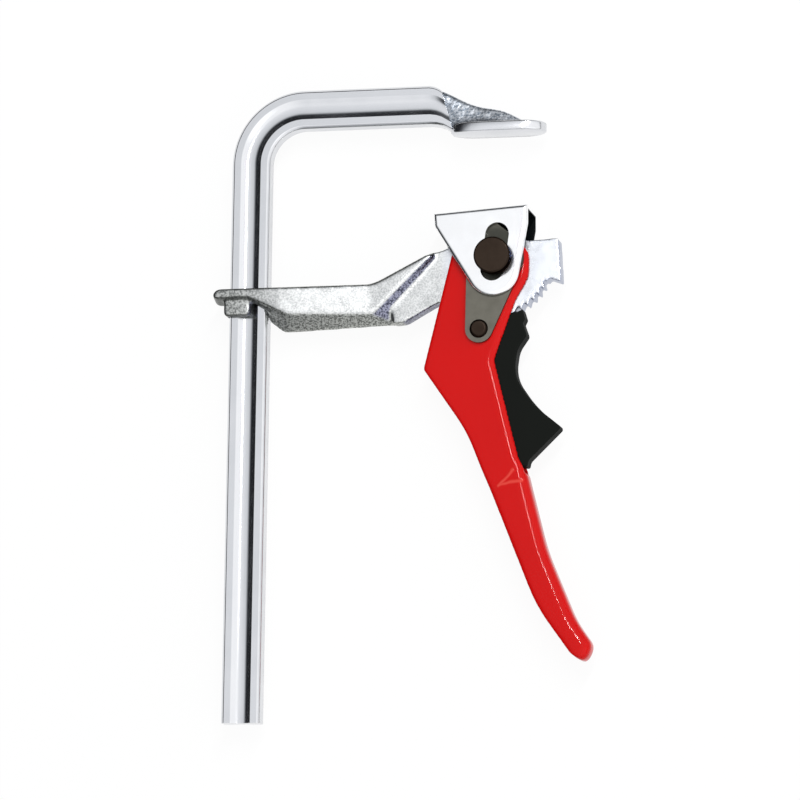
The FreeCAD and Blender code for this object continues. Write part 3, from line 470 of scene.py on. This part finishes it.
forged_arm = evened("forged_sliding_arm", "sliding_arm", 0.65, forged_skin)
worn(forged_arm, 24, beam_wear)
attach(forged_arm, "arm")
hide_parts("sliding_arm")


# The main pin is turned with a wide flat head and held by a washer and a snap ring. It and the
# lever's rivet are of steel, and blackened in hot oil after turning.
def dress(node_name, material):
    """Gives a solid of the frame its finish on every material slot."""
    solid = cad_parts[node_name]
    for slot in solid.material_slots:
        slot.link = "OBJECT"
        slot.material = material
    return solid


# Oil-blackened steel: a brown-black satin, with a blue-grey cast where it is seen edge on.
oil_blackened = new_material("oil_blackened_steel")
place = add(oil_blackened, "ShaderNodeTexCoord").outputs["Object"]
grain = add(oil_blackened, "ShaderNodeTexNoise", Vector=place, Scale=1000 / 0.9, Detail=4.0)
clouds = add(oil_blackened, "ShaderNodeTexNoise", Vector=place, Scale=1000 / 7, Detail=3.0)
black_tone = add(oil_blackened, "ShaderNodeMix", of_colours, i0=clouds,
                 i6=linear("#372E27"), i7=linear("#28201B"))
black_gloss = add(oil_blackened, "ShaderNodeMapRange", smooth_step, i0=clouds,
                  i1=0.3, i2=0.7, i3=0.34, i4=0.46)
black_bump = add(oil_blackened, "ShaderNodeBump", Height=grain, Strength=1.0, Distance=0.000012)
blackened = add(oil_blackened, "ShaderNodeBsdfPrincipled", Base_Color=black_tone, Metallic=1.0,
                Roughness=black_gloss, Specular_Tint=linear("#565C70"), Normal=black_bump)
add(oil_blackened, "ShaderNodeOutputMaterial", Surface=blackened)
for name in ("main_pin", "main_pin_washer", "main_pin_ring", "lever_pin"):
    dress(name, oil_blackened)


# The cam plates are blanked from steel plate and hardened, and turn with the lever. The trigger's
# short pin is of the same steel.
#
# Hardened grey steel: dull, a little clouded from the quench, with painted shade round the main pin.
main_pin_axis = clamp_point(130.7, -72.6, 0)
hardened_grey = new_material("hardened_grey_steel")
place = add(hardened_grey, "ShaderNodeTexCoord").outputs["Object"]
grain = add(hardened_grey, "ShaderNodeTexNoise", Vector=place, Scale=1000 / 1.2, Detail=4.0)
clouds = add(hardened_grey, "ShaderNodeTexNoise", Vector=place, Scale=1000 / 7, Detail=3.0)
grey_tone = add(hardened_grey, "ShaderNodeMix", of_colours, i0=clouds,
                i6=linear("#69675F"), i7=linear("#5A5851"))
from_pin = add(hardened_grey, "ShaderNodeVectorMath", {"operation": "SUBTRACT"}, i0=place,
               i1=main_pin_axis)
in_plane = add(hardened_grey, "ShaderNodeVectorMath", {"operation": "MULTIPLY"},
               i0=from_pin, i1=(1, 1, 0))
pin_distance = add(hardened_grey, "ShaderNodeVectorMath", {"operation": "LENGTH"}, i0=in_plane)
# Painted shade: darker within about 15 to 22 mm of the main pin's axis.
painted_pin_shade = add(hardened_grey, "ShaderNodeMapRange", smooth_step, i0=pin_distance,
            i1=0.022, i2=0.015, i3=0.0, i4=0.85)
tone_with_pin_shade = add(hardened_grey, "ShaderNodeMix", of_colours, i0=painted_pin_shade, i6=grey_tone,
                 i7=linear("#32332F"))
grey_gloss = add(hardened_grey, "ShaderNodeMapRange", smooth_step, i0=clouds,
                 i1=0.3, i2=0.7, i3=0.40, i4=0.50)
grey_bump = add(hardened_grey, "ShaderNodeBump", Height=grain, Strength=1.0, Distance=0.00002)
hardened = add(hardened_grey, "ShaderNodeBsdfPrincipled", Base_Color=tone_with_pin_shade, Metallic=1.0,
               Roughness=grey_gloss, Normal=grey_bump)
add(hardened_grey, "ShaderNodeOutputMaterial", Surface=hardened)
for name in ("cam_plate_front", "cam_plate_rear", "trigger_pin"):
    dress(name, hardened_grey)


# The pressure bracket is bent from thick steel sheet and plated. It stands over the cams, held by
# the main pin in its slot, and its web presses the work.
#
# Bright plated sheet: mirror-like and almost white, with painted black shade all over the
# inside, where the cams turn under its web.
plated_sheet = new_material("bright_plated_sheet")
place = add(plated_sheet, "ShaderNodeTexCoord").outputs["Object"]
clouds = add(plated_sheet, "ShaderNodeTexNoise", Vector=place, Scale=1000 / 9, Detail=3.0)
rolling = add(plated_sheet, "ShaderNodeTexNoise", Vector=place, Scale=1000 / 1.0, Detail=4.0)
sheet_colour = add(plated_sheet, "ShaderNodeMix", of_colours, i0=clouds,
                   i6=linear("#FFFFFF"), i7=linear("#F6F7F9"))
sheet_gloss = add(plated_sheet, "ShaderNodeMapRange", smooth_step, i0=clouds,
                  i1=0.3, i2=0.7, i3=0.12, i4=0.20)
sheet_bump = add(plated_sheet, "ShaderNodeBump", Height=rolling, Strength=1.0, Distance=0.000006)
from_middle = add(plated_sheet, "ShaderNodeVectorMath", {"operation": "SUBTRACT"}, i0=place,
                  i1=main_pin_axis)
tilt = math.radians(3.9)
above_pin = add(plated_sheet, "ShaderNodeVectorMath", {"operation": "DOT_PRODUCT"},
                i0=from_middle, i1=(-math.sin(tilt), math.cos(tilt), 0))
from_plane = add(plated_sheet, "ShaderNodeSeparateXYZ", Vector=from_middle).outputs["Z"]
depth = add(plated_sheet, "ShaderNodeMath", {"operation": "ABSOLUTE"}, i0=from_plane)
under_web = add(plated_sheet, "ShaderNodeMapRange", i0=above_pin, i1=0.0262, i2=0.0257)
between_sides = add(plated_sheet, "ShaderNodeMapRange", i0=depth, i1=0.0112, i2=0.0110)
# Painted shade: the inside between the sides and under the web is coloured near-black and made less
# metallic.
painted_inside_shade = add(plated_sheet, "ShaderNodeMath", {"operation": "MULTIPLY"}, i0=under_web, i1=between_sides)
shaded_inside_colour = add(plated_sheet, "ShaderNodeMix", of_colours, i0=painted_inside_shade, i6=sheet_colour,
                    i7=linear("#15191A"))
metallic_in_shade = add(plated_sheet, "ShaderNodeMapRange", i0=painted_inside_shade, i3=1.0, i4=0.3)
sheet = add(plated_sheet, "ShaderNodeBsdfPrincipled", Base_Color=shaded_inside_colour,
            Metallic=metallic_in_shade, Roughness=sheet_gloss, Normal=sheet_bump)
add(plated_sheet, "ShaderNodeOutputMaterial", Surface=sheet)
pressure_bracket = dress("pressure_bracket", plated_sheet)
sheet_edges = pressure_bracket.modifiers.new("deburred_edges", "BEVEL")
sheet_edges.width = 0.0006
sheet_edges.segments = 3
sheet_edges.limit_method = "ANGLE"
sheet_edges.angle_limit = math.radians(35)


# The lever is pressed from steel sheet and dipped in soft red vinyl, which rounds its edges. The
# rivet and the main pin hold it between the cam plates.
#
# Dipped vinyl: glossy, with a faint orange peel. Below the trigger the press has left a V-shaped
# fold mark in the sheet, which shows through as a soft ridge with a painted highlight along it.
dipped_vinyl = new_material("dipped_red_vinyl")
place = add(dipped_vinyl, "ShaderNodeTexCoord").outputs["Object"]
peel = add(dipped_vinyl, "ShaderNodeTexNoise", Vector=place, Scale=1000 / 6, Detail=1.0)
clouds = add(dipped_vinyl, "ShaderNodeTexNoise", Vector=place, Scale=1000 / 30, Detail=3.0)
wander = add(dipped_vinyl, "ShaderNodeTexNoise", Vector=place, Scale=1000 / 7, Detail=1.0)
wander_reach = 0.0024
wander_mean = Vector((wander_reach / 2, wander_reach / 2, 0))
wander_way = add(dipped_vinyl, "ShaderNodeVectorMath", {"operation": "SCALE"},
                 i0=wander.outputs["Color"], Scale=wander_reach)
wandering = add(dipped_vinyl, "ShaderNodeVectorMath", {"operation": "ADD"}, i0=place, i1=wander_way)


def fold_mark(start, end, width_mm):
    """A soft wandering line on the sheet, its ends in mm from the bar's edge and the pad's face."""
    begin = clamp_point(*start, 0) + wander_mean
    along = clamp_point(*end, 0) + wander_mean - begin
    reach = add(dipped_vinyl, "ShaderNodeVectorMath", {"operation": "SUBTRACT"},
                i0=wandering, i1=begin)
    flat = add(dipped_vinyl, "ShaderNodeVectorMath", {"operation": "MULTIPLY"}, i0=reach, i1=(1, 1, 0))
    share = add(dipped_vinyl, "ShaderNodeVectorMath", {"operation": "DOT_PRODUCT"},
                i0=flat, i1=along / along.length_squared)
    held = add(dipped_vinyl, "ShaderNodeClamp", Value=share)
    nearest = add(dipped_vinyl, "ShaderNodeVectorMath", {"operation": "SCALE"}, i0=along, Scale=held)
    gap = add(dipped_vinyl, "ShaderNodeVectorMath", {"operation": "DISTANCE"}, i0=flat, i1=nearest)
    return add(dipped_vinyl, "ShaderNodeMapRange", smooth_step, i0=gap, i1=width_mm / 1000, i2=0.0)


fold_corner = (133.8, -199.2)
fold_width_mm = 1.5
long_fold = fold_mark((141.6, -190.8), fold_corner, fold_width_mm)
short_fold = fold_mark(fold_corner, (146.7, -196.4), fold_width_mm)
fold = add(dipped_vinyl, "ShaderNodeMath", {"operation": "MAXIMUM"}, i0=long_fold, i1=short_fold)
vinyl_colour = add(dipped_vinyl, "ShaderNodeMix", of_colours, i0=clouds,
                   i6=linear("#C40A09"), i7=linear("#BC0908"))
# Painted highlight: along the fold mark the colour is mixed towards a pale pink-red.
painted_fold_highlight = add(dipped_vinyl, "ShaderNodeMath", {"operation": "MULTIPLY"}, i0=fold, i1=0.4)
colour_with_fold_highlight = add(dipped_vinyl, "ShaderNodeMix", of_colours, i0=painted_fold_highlight, i6=vinyl_colour,
                    i7=linear("#EA6254"))
vinyl_gloss = add(dipped_vinyl, "ShaderNodeMapRange", smooth_step, i0=clouds,
                  i1=0.3, i2=0.7, i3=0.07, i4=0.12)
peel_bump = add(dipped_vinyl, "ShaderNodeBump", Height=peel, Strength=1.0, Distance=0.00001)
fold_bump = add(dipped_vinyl, "ShaderNodeBump", Height=fold, Strength=1.0, Distance=0.00015,
                Normal=peel_bump)
vinyl = add(dipped_vinyl, "ShaderNodeBsdfPrincipled", Base_Color=colour_with_fold_highlight,
            Roughness=vinyl_gloss, IOR=1.5, Specular_IOR_Level=0.15, Normal=fold_bump)
add(dipped_vinyl, "ShaderNodeOutputMaterial", Surface=vinyl)


def eased(value, low, high):
    """0 below low and 1 above high, with a smooth step between; low may be the larger."""
    share = min(max((value - low) / (high - low), 0.0), 1.0)
    return share * share * (3 - 2 * share)


dipped_lever = evened("dipped_lever", "lever", 0.75, dipped_vinyl)

# The right-hand edge stands out in a blunt corner beside the main pin.
corner_reach = 0.0032
for corner in dipped_lever.data.vertices:
    drop = 1000 * (corner.co.y - clamp_point(0, 0, 0).y)
    rightward = 1000 * (corner.co.x - clamp_point(0, 0, 0).x)
    beside_pin = eased(drop, -99, -78) * eased(drop, -58, -72)
    corner.co.x += corner_reach * beside_pin * eased(rightward, 136, 143)


def grip_wear(place):
    """No wear above the trigger's end, and full wear on the grip below it."""
    return eased(place.y, clamp_point(0, -188, 0).y, clamp_point(0, -206, 0).y)


worn(dipped_lever, 8)
worn(dipped_lever, 30, grip_wear)
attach(dipped_lever, "lever")
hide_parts("lever")


# The trigger turns on its short pin between the lever's cheeks and latches on the arm's teeth with
# its nose. The photo leaves its material open, and it is drawn here as moulded black nylon.
#
# Moulded nylon: near-black and almost matt, with a fine spark-eroded texture from the mould.
black_nylon = new_material("moulded_black_nylon")
place = add(black_nylon, "ShaderNodeTexCoord").outputs["Object"]
texture = add(black_nylon, "ShaderNodeTexNoise", Vector=place, Scale=1000 / 0.7, Detail=2.0)
shine = add(black_nylon, "ShaderNodeTexNoise", Vector=place, Scale=1000 / 14, Detail=2.0)
nylon_gloss = add(black_nylon, "ShaderNodeMapRange", smooth_step, i0=shine,
                  i1=0.3, i2=0.7, i3=0.46, i4=0.56)
nylon_bump = add(black_nylon, "ShaderNodeBump", Height=texture, Strength=1.0, Distance=0.00002)
nylon = add(black_nylon, "ShaderNodeBsdfPrincipled", Base_Color=linear("#161816"), Roughness=nylon_gloss,
            IOR=1.53, Specular_IOR_Level=0.02, Normal=nylon_bump)
add(black_nylon, "ShaderNodeOutputMaterial", Surface=nylon)
dress("trigger", black_nylon)


# The trigger's spring is a flat strip of spring steel, hooked round the lever's rivet and bent past
# the trigger's pin.
rivet = Vector((122.0, -112.0))
trigger_axis = Vector((125.6, -122.6))
hook_radius = 4.05
bend_radius = 3.1
strip_half_thick = 0.3
strip_half_wide = 3.0
tail_length = 24.0
hook_start = math.radians(150)
hook_steps = 12
bend_points = 8
tail_steps = 12
apart = trigger_axis - rivet
crossing = math.asin((hook_radius + bend_radius) / apart.length)
leave = math.atan2(apart.y, apart.x) - math.pi / 2 + crossing
strip_line = []
for step in range(hook_steps + 1):
    angle = hook_start + (leave + 2 * math.pi - hook_start) * step / hook_steps
    outward = Vector((math.cos(angle), math.sin(angle)))
    strip_line.append((rivet + outward * hook_radius, outward))
for step in range(bend_points + 1):
    angle = (leave + math.pi) * (1 - step / bend_points)
    outward = Vector((math.cos(angle), math.sin(angle)))
    strip_line.append((trigger_axis + outward * bend_radius, -outward))
for step in range(1, tail_steps + 1):
    tail_point = trigger_axis + Vector((bend_radius, -tail_length * step / tail_steps))
    strip_line.append((tail_point, Vector((-1, 0))))
strip_rings = []
for middle, outward in strip_line:
    near = middle - outward * strip_half_thick
    away = middle + outward * strip_half_thick
    strip_rings.append([(near.x, near.y, -strip_half_wide), (near.x, near.y, strip_half_wide),
                        (away.x, away.y, strip_half_wide), (away.x, away.y, -strip_half_wide)])
spring = skinned("leaf_spring", strip_rings, hardened_grey)
smooth_shaded(spring, 40)
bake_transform(spring)
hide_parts("trigger_spring")
